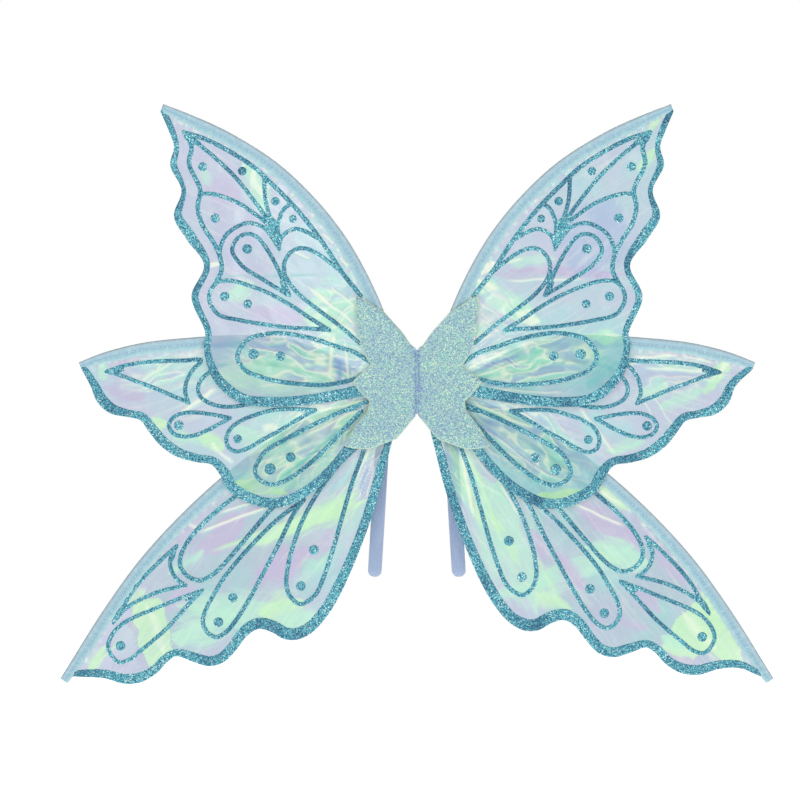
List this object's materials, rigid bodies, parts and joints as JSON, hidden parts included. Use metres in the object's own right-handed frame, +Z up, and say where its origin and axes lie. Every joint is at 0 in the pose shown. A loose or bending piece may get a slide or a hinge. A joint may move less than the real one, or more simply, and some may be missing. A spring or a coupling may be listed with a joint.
{
  "type": "fairy wings",
  "caption": "Dress-up fairy wings: overlapping iridescent film wings with glitter edges on a soft pad that folds at its centre, with elastic shoulder loops behind.",
  "frame": {"origin": "centre of the back panel's flat rear face, which rests against the wearer's back", "axes": "+Z up, +X to the right as seen from the glitter side, +Y out of the back panel towards the wearer"},
  "size_m": [0.572, 0.0404, 0.4632],
  "materials": {
    "iridescent_film": "thin clear film with a lavender to mint iridescent sheen, lightly creased",
    "teal_glitter": "fine teal glitter print",
    "satin_casing": "pale blue satin ribbon with a soft sheen",
    "frame_wire": "bright drawn wire",
    "vinyl_tip": "soft milky vinyl",
    "glitter_fabric": "fabric covered in mint, lavender and silver glitter",
    "backing_fabric": "matte pale blue woven fabric",
    "stiffener_sheet": "smooth white sheet",
    "pad_foam": "fine white foam",
    "elastic": "ribbed periwinkle elastic"
  },
  "bodies": {
    "root": {"centre_seam": "glitter_fabric", "back_pad_foam": "pad_foam", "back_panel": "backing_fabric", "left_strap_upper_tab": "elastic", "left_strap_lower_tab": "elastic", "right_strap_upper_tab": "elastic", "right_strap_lower_tab": "elastic"},
    "left_half": {"left_front_glitter_pad": "glitter_fabric", "left_stiffener_card": "stiffener_sheet", "left_rear_pad_cover": "backing_fabric"},
    "upper_left_wing": {"upper_left_edge_casing": "satin_casing", "upper_left_frame_wire": "frame_wire", "upper_left_wire_tip": "vinyl_tip", "upper_left_film": "iridescent_film", "upper_left_glitter_border": "teal_glitter"},
    "middle_left_wing": {"middle_left_edge_casing": "satin_casing", "middle_left_frame_wire": "frame_wire", "middle_left_wire_tip": "vinyl_tip", "middle_left_film": "iridescent_film", "middle_left_glitter_border": "teal_glitter"},
    "lower_left_wing": {"lower_left_edge_casing": "satin_casing", "lower_left_frame_wire": "frame_wire", "lower_left_wire_tip": "vinyl_tip", "lower_left_film": "iridescent_film", "lower_left_glitter_border": "teal_glitter"},
    "left_strap": {"left_shoulder_strap": "elastic"},
    "right_half": {"right_front_glitter_pad": "glitter_fabric", "right_stiffener_card": "stiffener_sheet", "right_rear_pad_cover": "backing_fabric"},
    "upper_right_wing": {"upper_right_edge_casing": "satin_casing", "upper_right_frame_wire": "frame_wire", "upper_right_wire_tip": "vinyl_tip", "upper_right_film": "iridescent_film", "upper_right_glitter_border": "teal_glitter"},
    "middle_right_wing": {"middle_right_edge_casing": "satin_casing", "middle_right_frame_wire": "frame_wire", "middle_right_wire_tip": "vinyl_tip", "middle_right_film": "iridescent_film", "middle_right_glitter_border": "teal_glitter"},
    "lower_right_wing": {"lower_right_edge_casing": "satin_casing", "lower_right_frame_wire": "frame_wire", "lower_right_wire_tip": "vinyl_tip", "lower_right_film": "iridescent_film", "lower_right_glitter_border": "teal_glitter"},
    "right_strap": {"right_shoulder_strap": "elastic"}
  },
  "joints": [
    {"name": "left_fold", "type": "hinge", "parent": "root", "child": "left_half", "pos_m": [0, -0.0202, 0], "axis": [0, 0, 1], "range_deg": [0, 85]},
    {"name": "upper_left_spread", "type": "hinge", "parent": "left_half", "child": "upper_left_wing", "pos_m": [-0.017, -0.0169, 0.014], "axis": [0, 1, 0], "range_deg": [-12, 12]},
    {"name": "middle_left_spread", "type": "hinge", "parent": "left_half", "child": "middle_left_wing", "pos_m": [-0.02, -0.0131, -0.007], "axis": [0, 1, 0], "range_deg": [-12, 12]},
    {"name": "lower_left_spread", "type": "hinge", "parent": "left_half", "child": "lower_left_wing", "pos_m": [-0.018, -0.0093, -0.024], "axis": [0, 1, 0], "range_deg": [-12, 12]},
    {"name": "left_strap_swing", "type": "hinge", "parent": "root", "child": "left_strap", "pos_m": [-0.0244, 0.00095, 0.0084], "axis": [0.0593, 0, 0.9982], "range_deg": [-45, 45]},
    {"name": "right_fold", "type": "hinge", "parent": "root", "child": "right_half", "pos_m": [0, -0.0202, 0], "axis": [0, 0, -1], "range_deg": [0, 85]},
    {"name": "upper_right_spread", "type": "hinge", "parent": "right_half", "child": "upper_right_wing", "pos_m": [0.017, -0.0169, 0.014], "axis": [0, -1, 0], "range_deg": [-12, 12]},
    {"name": "middle_right_spread", "type": "hinge", "parent": "right_half", "child": "middle_right_wing", "pos_m": [0.02, -0.0131, -0.007], "axis": [0, -1, 0], "range_deg": [-12, 12]},
    {"name": "lower_right_spread", "type": "hinge", "parent": "right_half", "child": "lower_right_wing", "pos_m": [0.018, -0.0093, -0.024], "axis": [0, -1, 0], "range_deg": [-12, 12]},
    {"name": "right_strap_swing", "type": "hinge", "parent": "root", "child": "right_strap", "pos_m": [0.0244, 0.00095, 0.0084], "axis": [0.0593, 0, -0.9982], "range_deg": [-45, 45]}
  ]
}
